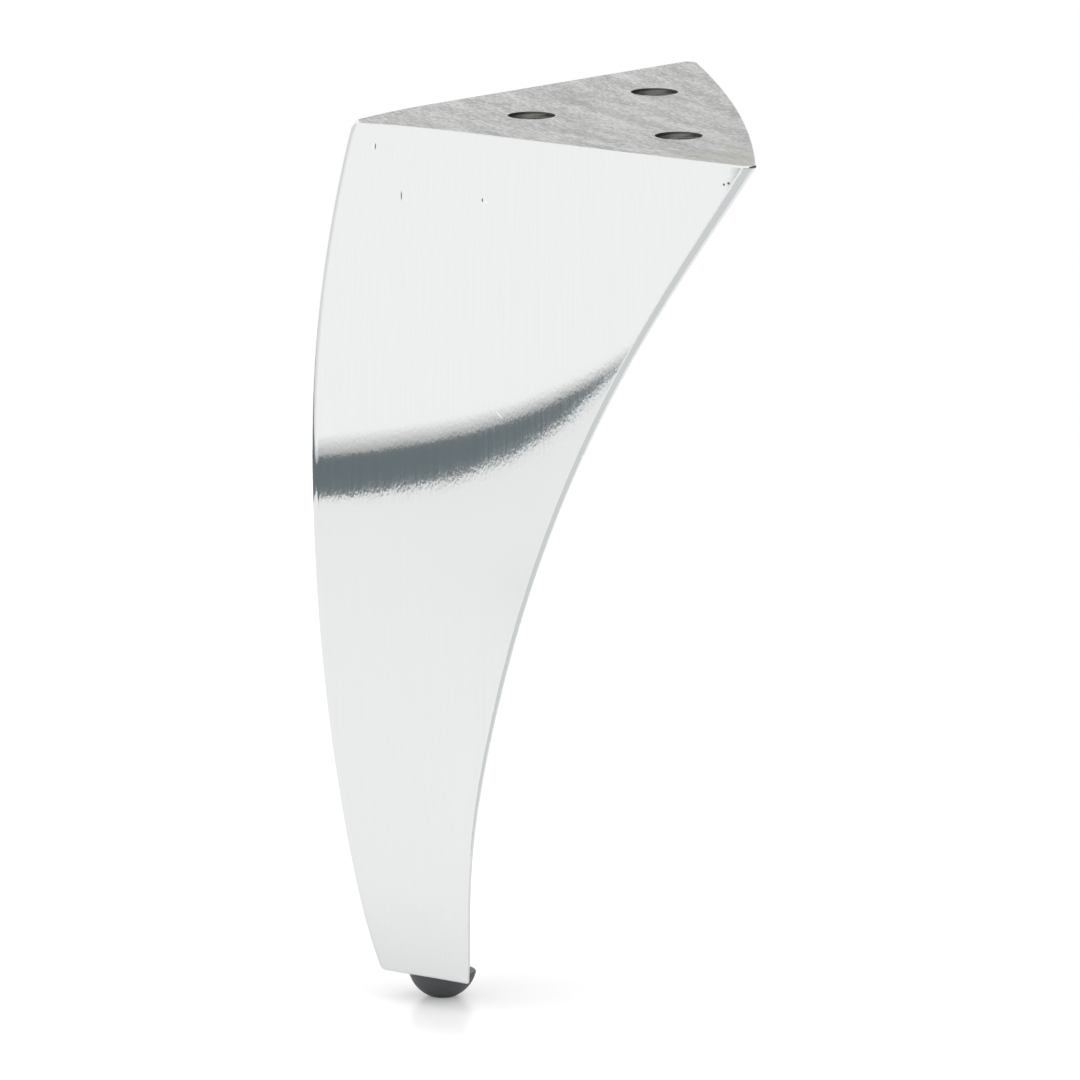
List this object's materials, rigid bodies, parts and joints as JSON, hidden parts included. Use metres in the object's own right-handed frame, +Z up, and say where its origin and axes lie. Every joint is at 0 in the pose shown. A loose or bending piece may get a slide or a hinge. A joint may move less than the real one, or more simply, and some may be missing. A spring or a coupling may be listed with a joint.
{
  "type": "furniture leg",
  "caption": "Triangular-section polished aluminium furniture leg, bowed in front and swept in behind, with threaded holes in its flat top and a domed plastic floor glide.",
  "frame": {"origin": "On the flat mounting face at the top, in the middle of the three screw holes.", "axes": "+Z is up, out of the mounting face; the leg reaches down to z = -0.150 m. -X points to the front ridge and +X to the broad inner face. The part is a mirror image across the XZ plane."},
  "size_m": [0.0717, 0.1088, 0.15],
  "materials": {
    "polished_aluminium": "polished",
    "black_plastic": "matte"
  },
  "bodies": {
    "root": {"leg": "polished_aluminium", "floor_glide": "black_plastic"}
  },
  "joints": []
}
